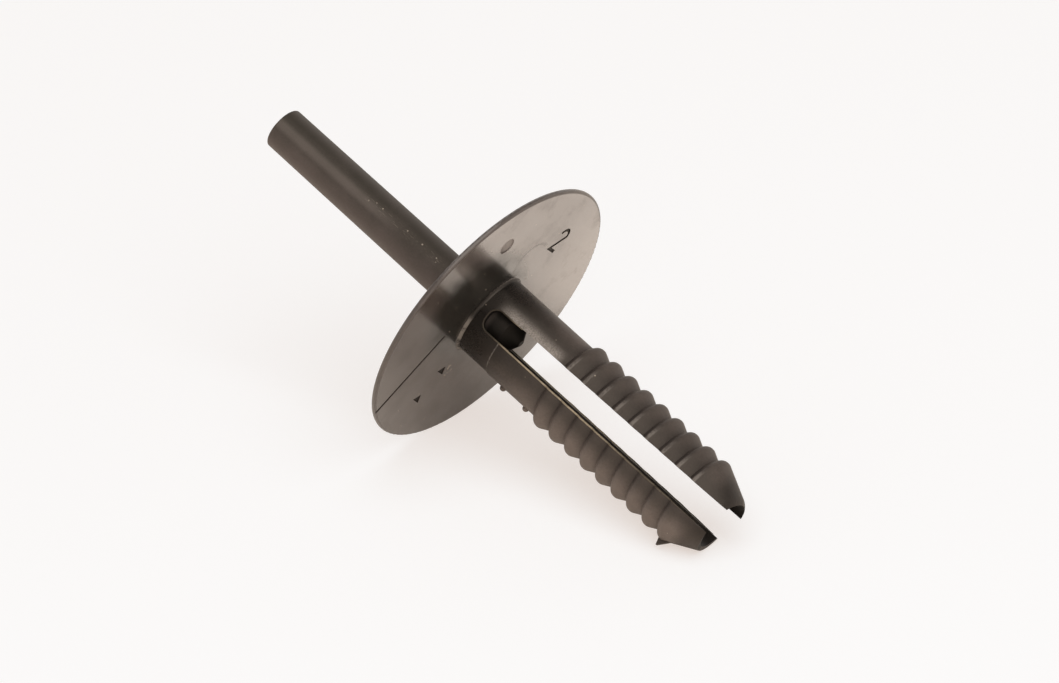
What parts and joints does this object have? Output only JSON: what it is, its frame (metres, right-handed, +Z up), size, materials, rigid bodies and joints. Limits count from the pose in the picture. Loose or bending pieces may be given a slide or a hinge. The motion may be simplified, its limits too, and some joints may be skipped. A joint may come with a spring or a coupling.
{
  "type": "plastic push rivet",
  "caption": "Plastic push rivet: a wide thin flange on a slotted ribbed shank, with a drive pin standing proud that slides in to spread the legs.",
  "frame": {"origin": "centre of the footprint, on the surface that the rivet lies on, under the flange's rim and the lower leg", "axes": "+X along the longest extent, from the drive pin's free end to the shank's tip; +Z up; the rivet's own axis lies in the XZ plane and dips towards +X"},
  "size_m": [0.049, 0.025, 0.0235],
  "materials": {
    "body_plastic": "moulded black nylon, satin, with a smoother flange",
    "pin_plastic": "moulded black nylon, satin, lightly scuffed"
  },
  "bodies": {
    "body": {"rivet_body": "body_plastic"},
    "pin": {"drive_pin": "pin_plastic"}
  },
  "joints": [
    {"name": "pin_drive", "type": "slide", "parent": "body", "child": "pin", "axis": [0.939, 0, -0.344], "range_m": [0, 0.02338]}
  ]
}
